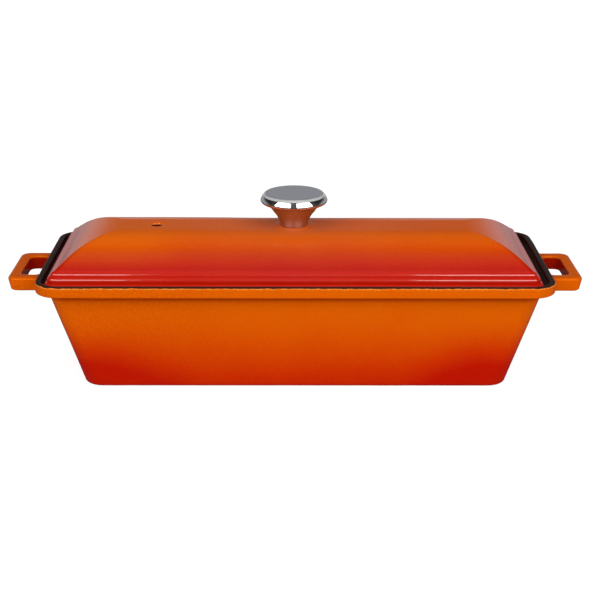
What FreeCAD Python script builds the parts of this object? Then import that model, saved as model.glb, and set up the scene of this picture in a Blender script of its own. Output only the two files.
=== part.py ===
import FreeCAD, Part
import math
import os
import Sketcher

# Enamelled cast iron bread pan with a hipped lid, in millimetres.
# The pan stands on z = 0 with its long side along X. The origin is the middle of its base.
# Pan and lid are one casting each. A steel knob is held on the lid by a screw and a washer.

SIZES = {
    # Pan: drafted body under a thick rim flange
    "rim_length": 330.0,
    "rim_width": 125.0,
    "rim_corner": 19.5,
    "rim_thick": 7.4,
    "rim_reach": 7.7,
    "pan_height": 77.0,
    "end_draft": 19.2,
    "side_draft": 15.9,
    "body_corner": 11.0,
    "wall": 4.2,
    "floor_thick": 5.0,
    "foot_round": 3.5,
    "well_round": 5.0,
    "rim_round": 1.2,
    # Recess in the rim that the lid drops into, and the share of its play that it lies off the middle
    "rim_wall": 4.0,
    "seat_depth": 3.6,
    "lid_play": 2.6,
    "lean_left": 0.35,
    "lean_front": 0.15,
    # Loop handles, cast in line with the rim at both ends
    "handle_reach": 22.9,
    "handle_width": 56.4,
    "handle_thick": 9.1,
    "handle_drop": 5.2,
    "handle_corner": 6.0,
    "handle_taper": 12.0,
    "handle_round": 1.8,
    "grip_bar": 7.8,
    "grip_arm": 8.7,
    "grip_web": 2.4,
    "grip_corner": 4.5,
    "grip_round": 1.2,
    # Lid: three border steps, then straight slopes that roll over into a flat crown
    "step_low": 3.3,
    "step_mid": 3.55,
    "step_high": 2.65,
    "step_ledge": 1.2,
    "step_round": 0.8,
    "dome_rise": 16.1,
    "dome_slope": 36.5,
    "crown_round": 37.0,
    "flat_spare": 0.3,
    "lid_wall": 4.2,
    "lid_seat": 8.0,
    "boss_width": 34.0,
    "boss_top": 26.0,
    "boss_rise": 0.8,
    "vent_width": 7.5,
    "vent_inset": 42.4,
    "vent_round": 1.0,
    # Knob: a turned cap on a trumpet stem
    "knob_width": 44.0,
    "knob_face": 39.6,
    "knob_height": 22.3,
    "knob_edge": 16.6,
    "knob_lip": 1.4,
    "stem_width": 17.6,
    "stem_curve": 17.0,
    "shoulder_curve": 12.0,
    "face_round": 0.8,
    # Fastener under the lid
    "screw_width": 6.0,
    "screw_reach": 10.0,
    "screw_play": 0.5,
    "thread_play": 0.1,
    "bore_spare": 2.0,
    "head_width": 12.0,
    "head_rise": 3.6,
    "head_flat": 8.0,
    "slot_length": 8.0,
    "slot_width": 1.4,
    "slot_depth": 1.6,
    "washer_width": 18.0,
    "washer_thick": 1.2,
}

# How near an edge must lie to a place to be taken as being there
NEAR = 0.01
# A hip edge climbs more than this
HIP_CLIMB = 0.5
# The most of the room that a round may fill
ROUND_SHARE = 0.9
# How round the corner of a hip is at its foot, as a share of the round along the hip
MOUTH_SHARE = 0.6

# Lengths that several pieces share, each worked out from the sizes above
BODY_LENGTH = "(Sizes.rim_length - 2 * Sizes.rim_reach)"
BODY_WIDTH = "(Sizes.rim_width - 2 * Sizes.rim_reach)"
BODY_TOP = "(Sizes.pan_height - Sizes.rim_thick)"
END_SLOPE = f"(Sizes.end_draft / {BODY_TOP})"
SIDE_SLOPE = f"(Sizes.side_draft / {BODY_TOP})"
SEAT_LEVEL = "(Sizes.pan_height - Sizes.seat_depth)"
RECESS_LENGTH = "(Sizes.rim_length - 2 * Sizes.rim_wall)"
RECESS_WIDTH = "(Sizes.rim_width - 2 * Sizes.rim_wall)"
RECESS_CORNER = "(Sizes.rim_corner - Sizes.rim_wall)"
GRIP_LENGTH = "(Sizes.handle_reach - Sizes.grip_web - Sizes.grip_bar)"
GRIP_CENTRE = f"(Sizes.rim_length / 2 + Sizes.grip_web + {GRIP_LENGTH} / 2)"

LID_LENGTH = f"({RECESS_LENGTH} - 2 * Sizes.lid_play)"
LID_WIDTH = f"({RECESS_WIDTH} - 2 * Sizes.lid_play)"
LID_CORNER = f"({RECESS_CORNER} - Sizes.lid_play)"
STEP_RISES = ("Sizes.step_low", "Sizes.step_mid", "Sizes.step_high")
DOME_INSET = f"({len(STEP_RISES)} * Sizes.step_ledge)"
HIP_ROUND = LID_CORNER
DOME_FOOT = "(" + " + ".join(STEP_RISES) + ")"
CROWN = f"({DOME_FOOT} + Sizes.dome_rise)"
SLOPE = "tan(Sizes.dome_slope * 1 deg)"
CEILING = f"({CROWN} - Sizes.lid_wall)"
VENT_PLACE = f"({LID_LENGTH} / 2 - {DOME_INSET} - Sizes.dome_rise / {SLOPE} - Sizes.vent_inset)"
VENT_ROOM = "(Sizes.vent_width / 2 + Sizes.vent_round)"
WASHER_ROOM = "(Sizes.washer_width / 2)"
SLOPE_DROP = "(Sizes.lid_wall / cos(Sizes.dome_slope * 1 deg))"
HOLLOW_WALL = f"({DOME_FOOT} - {SLOPE_DROP} + {SLOPE} * (Sizes.lid_seat - {DOME_INSET}))"
BOSS_LEVEL = f"({CROWN} + Sizes.boss_rise)"

LID_X = "(-Sizes.lean_left * Sizes.lid_play)"
LID_Y = "(-Sizes.lean_front * Sizes.lid_play)"
KNOB_Z = f"({SEAT_LEVEL} + {BOSS_LEVEL})"
CEILING_Z = f"({SEAT_LEVEL} + {CEILING})"
SCREW_LENGTH = "(Sizes.washer_thick + Sizes.lid_wall + Sizes.boss_rise + Sizes.screw_reach)"


def fill_sheet(doc):
    """Write every driving size as a plain number with its name as the alias."""
    sheet = doc.addObject("Spreadsheet::Sheet", "Sizes")
    for row, (name, value) in enumerate(SIZES.items(), start=1):
        sheet.set(f"A{row}", name)
        sheet.set(f"B{row}", str(value))
        sheet.setAlias(f"B{row}", name)
    doc.recompute()


def new_body(doc, name, place):
    """A body whose placement follows three expressions."""
    body = doc.addObject("PartDesign::Body", name)
    body.Label = name
    for axis, rule in zip("xyz", place):
        body.setExpression(f"Placement.Base.{axis}", rule)
    return body


def new_sketch(body, name, plane, offset=None):
    """A sketch on one of the body's own origin planes, raised along its normal."""
    sketch = body.newObject("Sketcher::SketchObject", name)
    origin_planes = {item.Role: item for item in body.Origin.OriginFeatures}
    sketch.AttachmentSupport = [(origin_planes[plane], "")]
    sketch.MapMode = "FlatFace"
    if offset is not None:
        sketch.setExpression("AttachmentOffset.Base.z", offset)
    return sketch


def bind(sketch, kind, *where, rule):
    """Add one dimension and tie it to an expression."""
    number = float(sketch.evalExpression(rule))
    index = sketch.addConstraint(Sketcher.Constraint(kind, *where, number))
    sketch.setExpression(f"Constraints[{index}]", rule)


def draw_rectangle(sketch, length, width, corner, centre="0"):
    """A rectangle with round corners, centred on the X axis at the given distance."""
    half_x = float(sketch.evalExpression(length)) / 2
    half_y = float(sketch.evalExpression(width)) / 2
    radius = float(sketch.evalExpression(corner))
    middle = float(sketch.evalExpression(centre))
    sides = []
    arcs = []
    for turn in range(4):
        across = turn % 2 == 1
        reach = half_x if across else half_y
        run = (half_y if across else half_x) - radius
        angle = turn * math.pi / 2
        spin = FreeCAD.Rotation(FreeCAD.Vector(0, 0, 1), math.degrees(angle))
        shift = FreeCAD.Vector(middle, 0, 0)
        start = spin.multVec(FreeCAD.Vector(-run, -reach, 0)) + shift
        end = spin.multVec(FreeCAD.Vector(run, -reach, 0)) + shift
        hub = spin.multVec(FreeCAD.Vector(run, radius - reach, 0)) + shift
        circle = Part.Circle(hub, FreeCAD.Vector(0, 0, 1), radius)
        sides.append(sketch.addGeometry(Part.LineSegment(start, end)))
        arcs.append(sketch.addGeometry(Part.ArcOfCircle(circle, angle - math.pi / 2, angle)))
    for turn in range(4):
        following = sides[(turn + 1) % 4]
        sketch.addConstraint(Sketcher.Constraint("Tangent", sides[turn], 2, arcs[turn], 1))
        sketch.addConstraint(Sketcher.Constraint("Tangent", arcs[turn], 2, following, 1))
        direction = "Vertical" if turn % 2 == 1 else "Horizontal"
        sketch.addConstraint(Sketcher.Constraint(direction, sides[turn]))
    for arc in arcs[1:]:
        sketch.addConstraint(Sketcher.Constraint("Equal", arcs[0], arc))
    bind(sketch, "DistanceX", sides[3], 1, sides[1], 1, rule=length)
    bind(sketch, "DistanceY", sides[0], 1, sides[2], 1, rule=width)
    bind(sketch, "Radius", arcs[0], rule=corner)
    bind(sketch, "DistanceX", -1, 1, sides[1], 1, rule=f"{centre} + ({length}) / 2")
    bind(sketch, "DistanceY", -1, 1, sides[2], 1, rule=f"({width}) / 2")


def draw_outline(sketch, corners):
    """A closed outline. Each corner is (x, y) or (x, y, radius, turn) as expressions.

    A radius makes an arc of the run to the next corner, with turn 1 for a left-hand bend
    and -1 for a right-hand bend.
    """
    points = []
    for corner in corners:
        x = float(sketch.evalExpression(corner[0]))
        y = float(sketch.evalExpression(corner[1]))
        points.append(FreeCAD.Vector(x, y, 0))
    ends = []
    for index, corner in enumerate(corners):
        start = points[index]
        end = points[(index + 1) % len(points)]
        if len(corner) == 2:
            edge = sketch.addGeometry(Part.LineSegment(start, end))
            ends.append((edge, 1, 2))
            continue
        radius = float(sketch.evalExpression(corner[2]))
        turn = corner[3]
        chord = end - start
        side = FreeCAD.Vector(-chord.y, chord.x, 0).normalize()
        hub = (start + end) / 2 + side * (turn * math.sqrt(radius ** 2 - (chord.Length / 2) ** 2))
        first, last = (start, end) if turn == 1 else (end, start)
        begin = math.atan2(first.y - hub.y, first.x - hub.x)
        finish = math.atan2(last.y - hub.y, last.x - hub.x)
        circle = Part.Circle(hub, FreeCAD.Vector(0, 0, 1), radius)
        edge = sketch.addGeometry(Part.ArcOfCircle(circle, begin, finish))
        bind(sketch, "Radius", edge, rule=corner[2])
        ends.append((edge, 1, 2) if turn == 1 else (edge, 2, 1))
    for index, corner in enumerate(corners):
        edge, start_point, _ = ends[index]
        previous, _, end_point = ends[index - 1]
        sketch.addConstraint(
            Sketcher.Constraint("Coincident", previous, end_point, edge, start_point))
        bind(sketch, "DistanceX", -1, 1, edge, start_point, rule=corner[0])
        bind(sketch, "DistanceY", -1, 1, edge, start_point, rule=corner[1])


def draw_plain_rectangle(sketch, length, width):
    """A centred rectangle with sharp corners."""
    x = f"({length}) / 2"
    y = f"({width}) / 2"
    draw_outline(sketch, [(f"-{x}", f"-{y}"), (x, f"-{y}"), (x, y), (f"-{x}", y)])


def draw_circle(sketch, width, x="0"):
    """A circle on the X axis of the sketch."""
    centre = FreeCAD.Vector(float(sketch.evalExpression(x)), 0, 0)
    radius = float(sketch.evalExpression(width)) / 2
    ring = sketch.addGeometry(Part.Circle(centre, FreeCAD.Vector(0, 0, 1), radius))
    bind(sketch, "Diameter", ring, rule=width)
    bind(sketch, "DistanceX", -1, 1, ring, 3, rule=x)
    sketch.addConstraint(Sketcher.Constraint("PointOnObject", ring, 3, -1))


def extrude(body, kind, name, sketch, length, reverse=False, taper=None):
    """A pad or pocket of a sketch, with its length tied to an expression."""
    feature = body.newObject(f"PartDesign::{kind}", name)
    feature.Profile = sketch
    feature.Reversed = reverse
    feature.setExpression("Length", length)
    if taper is not None:
        feature.setExpression("TaperAngle", taper)
    return feature


def loft(body, kind, name, lower, upper):
    """Straight sides from one section to the other, added or cut away."""
    feature = body.newObject(f"PartDesign::{kind}Loft", name)
    feature.Profile = lower
    feature.Sections = [upper]
    feature.Ruled = True


def revolve(body, name, sketch):
    """A full turn about the sketch's upright axis."""
    feature = body.newObject("PartDesign::Revolution", name)
    feature.Profile = sketch
    feature.ReferenceAxis = (sketch, ["V_Axis"])
    feature.Angle = 360


def round_edges(body, name, radius, chosen):
    """Fillet the edges of the body's tip that the test picks."""
    body.Document.recompute()
    base = body.Tip
    picked = []
    for number, edge in enumerate(base.Shape.Edges, start=1):
        if chosen(edge):
            picked.append(f"Edge{number}")
    if not picked:
        raise ValueError(f"{name} found no edge to round")
    fillet = body.newObject("PartDesign::Fillet", name)
    fillet.Base = (base, picked)
    fillet.setExpression("Radius", radius)
    body.Document.recompute()


def at_level(edge, level):
    """True for an edge that lies flat at one height."""
    box = edge.BoundBox
    return abs(box.ZMin - level) < NEAR and abs(box.ZMax - level) < NEAR


def on_rectangle(edge, level, half_x, half_y, centre=0.0):
    """True for a flat edge whose ends lie on the sides of a rectangle."""
    def on_side(end):
        along = abs(abs(end.X - centre) - half_x) < NEAR
        return along or abs(abs(end.Y) - half_y) < NEAR
    return at_level(edge, level) and all(on_side(end) for end in edge.Vertexes)


def value(doc, rule):
    """The present number behind an expression."""
    return float(doc.getObject("Sizes").evalExpression(rule))


def build_pan(doc):
    """Body, flange and both loop handles, hollowed and with the recess for the lid."""
    body = new_body(doc, "pan", ("0", "0", "0"))

    foot = new_sketch(body, "pan_foot", "XY_Plane")
    foot_length = f"{BODY_LENGTH} - 2 * Sizes.end_draft"
    foot_width = f"{BODY_WIDTH} - 2 * Sizes.side_draft"
    draw_rectangle(foot, foot_length, foot_width, "Sizes.body_corner")
    shoulder = new_sketch(body, "pan_shoulder", "XY_Plane", BODY_TOP)
    draw_rectangle(shoulder, BODY_LENGTH, BODY_WIDTH, "Sizes.body_corner")
    loft(body, "Additive", "pan_sides", foot, shoulder)

    handles = new_sketch(body, "pan_handles", "XY_Plane", "Sizes.pan_height - Sizes.handle_drop")
    handle_span = "Sizes.rim_length + 2 * Sizes.handle_reach"
    draw_rectangle(handles, handle_span, "Sizes.handle_width", "Sizes.handle_corner")
    extrude(body, "Pad", "pan_handle_bar", handles, "Sizes.handle_thick", True, "-Sizes.handle_taper")

    rim = new_sketch(body, "pan_rim", "XY_Plane", BODY_TOP)
    draw_rectangle(rim, "Sizes.rim_length", "Sizes.rim_width", "Sizes.rim_corner")
    extrude(body, "Pad", "pan_flange", rim, "Sizes.rim_thick")

    for name, side in (("left", "-1"), ("right", "1")):
        grip = new_sketch(body, f"pan_grip_{name}", "XY_Plane", BODY_TOP)
        grip_width = "Sizes.handle_width - 2 * Sizes.grip_arm"
        draw_rectangle(grip, GRIP_LENGTH, grip_width, "Sizes.grip_corner", f"{side} * {GRIP_CENTRE}")
        cut = extrude(body, "Pocket", f"pan_grip_cut_{name}", grip, "Sizes.pan_height")
        cut.Midplane = True

    floor_level = "Sizes.floor_thick"
    floor_length = f"{foot_length} + 2 * ({END_SLOPE} * {floor_level} - Sizes.wall)"
    floor_width = f"{foot_width} + 2 * ({SIDE_SLOPE} * {floor_level} - Sizes.wall)"
    mouth_length = f"{foot_length} + 2 * ({END_SLOPE} * {SEAT_LEVEL} - Sizes.wall)"
    mouth_width = f"{foot_width} + 2 * ({SIDE_SLOPE} * {SEAT_LEVEL} - Sizes.wall)"
    well_corner = "(Sizes.body_corner - Sizes.wall)"
    well_floor = new_sketch(body, "pan_well_floor", "XY_Plane", floor_level)
    draw_rectangle(well_floor, floor_length, floor_width, well_corner)
    well_mouth = new_sketch(body, "pan_well_mouth", "XY_Plane", SEAT_LEVEL)
    draw_rectangle(well_mouth, mouth_length, mouth_width, well_corner)
    loft(body, "Subtractive", "pan_well", well_floor, well_mouth)

    recess = new_sketch(body, "pan_recess", "XY_Plane", "Sizes.pan_height")
    draw_rectangle(recess, RECESS_LENGTH, RECESS_WIDTH, RECESS_CORNER)
    extrude(body, "Pocket", "pan_seat", recess, "Sizes.seat_depth")

    well_round = f"min(Sizes.well_round; {ROUND_SHARE} * {well_corner})"
    level = value(doc, floor_level)
    round_edges(body, "pan_well_round", well_round, lambda edge: at_level(edge, level))
    round_edges(body, "pan_foot_round", "Sizes.foot_round", lambda edge: at_level(edge, 0))
    round_rim(doc, body)
    round_handles(doc, body)
    return body


def round_rim(doc, body):
    """Soften the outer edges of the flange, above and below."""
    half_x = value(doc, "Sizes.rim_length / 2")
    half_y = value(doc, "Sizes.rim_width / 2")
    for name, rule in (("top", "Sizes.pan_height"), ("under", BODY_TOP)):
        level = value(doc, rule)
        round_edges(body, f"pan_rim_round_{name}", "Sizes.rim_round",
                    lambda edge: on_rectangle(edge, level, half_x, half_y))


def round_handles(doc, body):
    """Soften the handles round their outside and round the finger openings."""
    rim_x = value(doc, "Sizes.rim_length / 2")
    end_x = value(doc, "Sizes.rim_length / 2 + Sizes.handle_reach")
    side_y = value(doc, "Sizes.handle_width / 2")
    top = value(doc, "Sizes.pan_height - Sizes.handle_drop")
    round_edges(body, "pan_handle_round", "Sizes.handle_round",
                lambda edge: on_rectangle(edge, top, end_x, side_y)
                and abs(edge.CenterOfMass.x) > rim_x + NEAR)
    thick = value(doc, "Sizes.handle_thick")
    lean = thick * math.tan(math.radians(value(doc, "Sizes.handle_taper")))
    round_edges(body, "pan_handle_round_under", "Sizes.handle_round",
                lambda edge: on_rectangle(edge, top - thick, end_x - lean, side_y - lean)
                and abs(edge.CenterOfMass.x) > rim_x + NEAR)
    grip_x = value(doc, f"{GRIP_LENGTH} / 2")
    grip_y = value(doc, "Sizes.handle_width / 2 - Sizes.grip_arm")
    centre = value(doc, GRIP_CENTRE)
    round_edges(body, "pan_grip_round", "Sizes.grip_round",
                lambda edge: on_rectangle(edge, top, grip_x, grip_y, centre)
                or on_rectangle(edge, top, grip_x, grip_y, -centre))


def hipped_block(body, name, base, top, length, width, crown_round, room):
    """Four slopes that rise from a rectangle and roll over into a flat crown.

    The crown stays flat for at least the given room on each side of the middle.
    """
    inset = f"(({top}) - ({base})) / {SLOPE}"
    half_width = f"({width}) / 2"
    flat_width = f"({half_width} - {inset})"
    section = new_sketch(body, f"{name}_section", "YZ_Plane")
    draw_outline(section, [(f"-{half_width}", base), (half_width, base),
                           (flat_width, top), (f"-{flat_width}", top)])
    extrude(body, "Pad", f"{name}_slopes", section, length).Midplane = True

    half_length = f"({length}) / 2"
    flat_length = f"({half_length} - {inset})"
    ends = new_sketch(body, f"{name}_ends", "XZ_Plane")
    draw_outline(ends, [(half_length, base), (half_length, top), (flat_length, top)])
    draw_outline(ends, [(f"-{half_length}", base), (f"-{flat_length}", top), (f"-{half_length}", top)])
    extrude(body, "Pocket", f"{name}_end_slopes", ends, width).Midplane = True

    level = value(body.Document, top)
    offset = value(body.Document, f"{half_length} - {half_width}")
    widest_round = f"({flat_width} - {room} - Sizes.flat_spare) / tan(Sizes.dome_slope / 2 * 1 deg)"
    round_edges(body, f"{name}_crown_round", f"min({crown_round}; {widest_round})",
                lambda edge: at_level(edge, level))
    round_edges(body, f"{name}_hip_round", HIP_ROUND, lambda edge: on_hip(edge, offset))


def on_hip(edge, offset):
    """True for an edge that runs up the line where a long and a short slope meet."""
    box = edge.BoundBox
    if box.ZLength < HIP_CLIMB:
        return False
    return all(abs(abs(end.X) - abs(end.Y) - offset) < NEAR for end in edge.Vertexes)


def build_lid_core(doc):
    """The space under the lid, as one block that is cut out of it."""
    body = new_body(doc, "lid_core", ("0", "0", "0"))
    length = f"({LID_LENGTH} - 2 * Sizes.lid_seat)"
    width = f"({LID_WIDTH} - 2 * Sizes.lid_seat)"
    crown_round = "Sizes.crown_round - Sizes.lid_wall"
    hipped_block(body, "core", HOLLOW_WALL, CEILING, length, width, crown_round, WASHER_ROOM)
    mouth = new_sketch(body, "core_mouth", "XY_Plane")
    draw_rectangle(mouth, length, width, f"{MOUTH_SHARE} * {HIP_ROUND}")
    extrude(body, "Pad", "core_mouth_pad", mouth, HOLLOW_WALL)
    return body


def border_step(count):
    """Length, width and top level of one border step, counted from the outside."""
    length = f"({LID_LENGTH} - 2 * {count} * Sizes.step_ledge)"
    width = f"({LID_WIDTH} - 2 * {count} * Sizes.step_ledge)"
    return length, width, "(" + " + ".join(STEP_RISES[:count + 1]) + ")"


def build_lid(doc):
    """Stepped border, hipped dome with a flat crown, hollow underside, boss and two holes."""
    body = new_body(doc, "lid", (LID_X, LID_Y, SEAT_LEVEL))
    dome_length = f"({LID_LENGTH} - 2 * {DOME_INSET})"
    dome_width = f"({LID_WIDTH} - 2 * {DOME_INSET})"
    crown_round = "Sizes.crown_round"
    hipped_block(body, "dome", DOME_FOOT, CROWN, dome_length, dome_width, crown_round, VENT_ROOM)

    inside_out = range(len(STEP_RISES) - 1, -1, -1)
    for count in inside_out:
        step = new_sketch(body, f"lid_step_{count}", "XY_Plane")
        length, width, rise = border_step(count)
        draw_rectangle(step, length, width, f"{LID_CORNER} - {count} * Sizes.step_ledge")
        extrude(body, "Pad", f"lid_border_{count}", step, rise)
    for count in inside_out:
        length, width, rise = border_step(count)
        half_x = value(doc, length) / 2
        half_y = value(doc, width) / 2
        level = value(doc, rise)
        round_edges(body, f"lid_border_round_{count}", "Sizes.step_round",
                    lambda edge: on_rectangle(edge, level, half_x, half_y))

    hollow = body.newObject("PartDesign::Boolean", "lid_hollow")
    hollow.Type = "Cut"
    hollow.setObjects([build_lid_core(doc)])

    boss = new_sketch(body, "lid_boss", "XZ_Plane")
    buried = f"({CROWN} - Sizes.lid_wall / 2)"
    draw_outline(boss, [("0", buried), ("Sizes.boss_width / 2", buried),
                        ("Sizes.boss_width / 2", CROWN), ("Sizes.boss_top / 2", BOSS_LEVEL),
                        ("0", BOSS_LEVEL)])
    revolve(body, "lid_boss_turn", boss)

    holes = (("screw", "Sizes.screw_width + Sizes.screw_play", "0"),
             ("vent", "Sizes.vent_width", f"-{VENT_PLACE}"))
    for name, width, place in holes:
        hole = new_sketch(body, f"lid_{name}_hole", "XY_Plane")
        draw_circle(hole, width, place)
        extrude(body, "Pocket", f"lid_{name}_cut", hole, f"2 * {CROWN}", True)
    crown = value(doc, CROWN)
    vent = value(doc, "Sizes.vent_width / 2")
    round_edges(body, "lid_vent_round", "Sizes.vent_round",
                lambda edge: at_level(edge, crown) and abs(edge.BoundBox.XLength / 2 - vent) < NEAR)
    return body


def build_knob(doc):
    """Turned steel knob: flat face, convex shoulder, sharp lip, trumpet stem, blind bore."""
    body = new_body(doc, "knob", (LID_X, LID_Y, KNOB_Z))
    profile = new_sketch(body, "knob_profile", "XZ_Plane")
    edge = "Sizes.knob_width / 2"
    draw_outline(profile, [
        ("0", "0"),
        ("Sizes.stem_width / 2", "0", "Sizes.stem_curve", -1),
        (f"{edge} - Sizes.knob_lip", "Sizes.knob_edge - Sizes.knob_lip"),
        (edge, "Sizes.knob_edge", "Sizes.shoulder_curve", 1),
        ("Sizes.knob_face / 2", "Sizes.knob_height"),
        ("0", "Sizes.knob_height"),
    ])
    revolve(body, "knob_turn", profile)
    top = value(doc, "Sizes.knob_height")
    round_edges(body, "knob_face_round", "Sizes.face_round", lambda edge: at_level(edge, top))

    bore = new_sketch(body, "knob_bore", "XY_Plane")
    draw_circle(bore, "Sizes.screw_width + Sizes.thread_play")
    extrude(body, "Pocket", "knob_bore_cut", bore, "Sizes.screw_reach + Sizes.bore_spare", True)
    return body


def build_washer(doc):
    """Plain washer between the screw head and the underside of the lid."""
    level = f"{CEILING_Z} - Sizes.washer_thick"
    body = new_body(doc, "knob_washer", (LID_X, LID_Y, level))
    ring = new_sketch(body, "washer_ring", "XY_Plane")
    draw_circle(ring, "Sizes.washer_width")
    draw_circle(ring, "Sizes.screw_width + Sizes.screw_play")
    extrude(body, "Pad", "washer_pad", ring, "Sizes.washer_thick")
    return body


def build_screw(doc):
    """Pan head screw, standing head down, with a cross recess in its head."""
    level = f"{CEILING_Z} - Sizes.washer_thick"
    body = new_body(doc, "knob_screw", (LID_X, LID_Y, level))
    profile = new_sketch(body, "screw_profile", "XZ_Plane")
    draw_outline(profile, [
        ("0", "-Sizes.head_rise"),
        ("Sizes.head_flat / 2", "-Sizes.head_rise"),
        ("Sizes.head_width / 2", "-Sizes.head_rise / 2"),
        ("Sizes.head_width / 2", "0"),
        ("Sizes.screw_width / 2", "0"),
        ("Sizes.screw_width / 2", SCREW_LENGTH),
        ("0", SCREW_LENGTH),
    ])
    revolve(body, "screw_turn", profile)

    for name, length, width in (("long", "Sizes.slot_length", "Sizes.slot_width"),
                                ("cross", "Sizes.slot_width", "Sizes.slot_length")):
        slot = new_sketch(body, f"screw_slot_{name}", "XY_Plane", "-Sizes.head_rise")
        draw_plain_rectangle(slot, length, width)
        extrude(body, "Pocket", f"screw_slot_cut_{name}", slot, "Sizes.slot_depth", True)
    return body


def check(doc, bodies):
    """Stop if any object failed or any piece isn't one sound solid."""
    for item in doc.Objects:
        if "Invalid" in item.State or "Error" in item.State:
            raise ValueError(f"{item.Name} failed: {item.State}")
    for body in bodies:
        if body.Shape.isNull() or not body.Shape.isValid() or not body.Shape.Solids:
            raise ValueError(f"{body.Label} is not a sound solid")


def main():
    doc = FreeCAD.newDocument("bread_pan")
    fill_sheet(doc)
    bodies = [build(doc) for build in (build_pan, build_lid, build_knob, build_washer, build_screw)]
    doc.recompute()
    check(doc, bodies)
    os.makedirs("parts", exist_ok=True)
    for body in bodies:
        body.Shape.exportStep(f"parts/{body.Label}.step")
        print(f"{body.Label}: {body.Shape.Volume:.0f} cubic mm")


main()
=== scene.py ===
import math

import bmesh
import bpy
import numpy as np
from mathutils import Matrix, Vector, noise


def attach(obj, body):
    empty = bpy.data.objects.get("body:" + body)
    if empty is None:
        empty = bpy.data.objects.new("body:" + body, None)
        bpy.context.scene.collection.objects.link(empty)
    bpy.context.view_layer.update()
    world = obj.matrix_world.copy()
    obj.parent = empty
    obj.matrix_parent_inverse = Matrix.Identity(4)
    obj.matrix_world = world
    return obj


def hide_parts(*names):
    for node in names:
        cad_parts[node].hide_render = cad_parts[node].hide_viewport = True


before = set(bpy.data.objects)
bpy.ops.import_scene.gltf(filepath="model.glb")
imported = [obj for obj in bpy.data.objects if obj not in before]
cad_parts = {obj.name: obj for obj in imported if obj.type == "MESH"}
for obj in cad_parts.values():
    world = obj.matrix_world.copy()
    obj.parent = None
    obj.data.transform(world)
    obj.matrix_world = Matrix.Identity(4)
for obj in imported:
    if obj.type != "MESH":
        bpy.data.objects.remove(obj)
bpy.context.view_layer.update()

# Sizes are in millimetres and turn into metres when a mesh is made. A name that ends in X or Y is
# half a size, and a corner is a radius seen from above
MM = 0.001

# Rim of the pan and the recess in it
RIM_X = 165.2
RIM_Y = 62.5
RIM_CORNER = 15.5
RIM_THICK = 7.4
RIM_REACH = 7.7
RIM_WALL = 4.0
RIM_ROUND = 1.2
PAN_TOP = 77.0
SEAT_DEPTH = 3.6
SEAT = PAN_TOP - SEAT_DEPTH

# Body and well. The drafts say how much nearer the foot is than the body's top
BODY_X = 157.9
BODY_Y = RIM_Y - RIM_REACH
BODY_TOP = PAN_TOP - RIM_THICK
BODY_CORNER = 11.0
END_DRAFT = 19.2
SIDE_DRAFT = 15.9
WALL = 4.2
FLOOR_THICK = 5.0
WELL_CORNER = BODY_CORNER - WALL
FOOT_ROUND = 3.5
WELL_ROUND = 4.8
CAST_ROUND = 1.5
SMALL_ROUND = 0.8

# How far inside the foot and the well's floor their flat grids end
FOOT_MARGIN = 30.0
FLOOR_MARGIN = 28.0

# Handles, each a plate that is tapered downwards and has an opening for the fingers
HANDLE_ROOT = 156.0
HANDLE_END = 187.9
HANDLE_Y = 28.2
HANDLE_CORNER = 6.0
HANDLE_TOP = 71.8
HANDLE_THICK = 9.7
HANDLE_TAPER = 12.0
HANDLE_ROUND = 1.8
GRIP_CENTRE = 173.75
GRIP_X = 6.35
GRIP_Y = 19.5
GRIP_CORNER = 4.5
GRIP_ROUND = 1.2

# Lid, which lies a little to the left and to the front in its recess
LID_PLAY = 2.6
LID_SHIFT = (-0.91, -0.39)
LID_X = RIM_X - RIM_WALL - LID_PLAY
LID_Y = RIM_Y - RIM_WALL - LID_PLAY
LID_CORNER = 7.5
LID_WALL = 4.2

# The lid's border of three steps
STEP_RISES = (3.0, 4.1, 2.9)
SIDE_LEDGE = 1.95
END_LEDGE = 2.3
STEP_LEAN = 0.9
STEP_ROUND = 1.95

# The lid's dome, whose slopes meet in soft hips and roll over into a flat crown
DOME_FOOT = SEAT + sum(STEP_RISES)
DOME_RISE = 15.9
DOME_SLOPE = 36.5
CROWN_ROUND = 52.0
HIP_ROUND = 2.6
CROWN = DOME_FOOT + DOME_RISE
SIDE_INSET = len(STEP_RISES) * SIDE_LEDGE
END_INSET = len(STEP_RISES) * END_LEDGE
DOME_TAN = math.tan(math.radians(DOME_SLOPE))
DOME_RUN = DOME_RISE / DOME_TAN
END_SLOPE = math.atan(DOME_RISE / (DOME_RUN + SIDE_INSET - END_INSET))

# The crown is flat inside the rolled edge, which reaches in furthest at the steeper ends
ROLL_MARGIN = 0.3
ROLL_REACH = DOME_RUN + CROWN_ROUND * math.tan(END_SLOPE / 2) + ROLL_MARGIN
CROWN_X = LID_X - SIDE_INSET - ROLL_REACH
CROWN_Y = LID_Y - SIDE_INSET - ROLL_REACH

# Hollow under the lid
LID_SEAT = 8.0
HOLLOW_CORNER = HIP_ROUND + 1.0
HOLLOW_ROUND = 2.0
CEILING = CROWN - LID_WALL

# Boss under the knob, and how far a normal rises on the lid's outside and on its underside
BOSS_RISE = 0.5
BOSS_FOOT = 15.5
BOSS_TOP = 9.5
OUTSIDE_NORMAL = 0.3
UNDERSIDE_NORMAL = -0.2

# Holes for the steam and for the knob's screw, with a flat collar round each end and a ring of
# points that breaks the wall under the upper round
VENT_PLACE = -90.6
VENT_RADIUS = 3.75
SCREW_RADIUS = 3.25
HOLE_ROUND = 1.0
HOLE_LOW_ROUND = 0.5
HOLE_COLLAR = 1.6
HOLE_BREAK = 2.6

# Half the square of crown that a hole is cut from, and the points along each of its sides
HOLE_HALF = 6.5
HOLE_POINTS = 13

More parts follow.
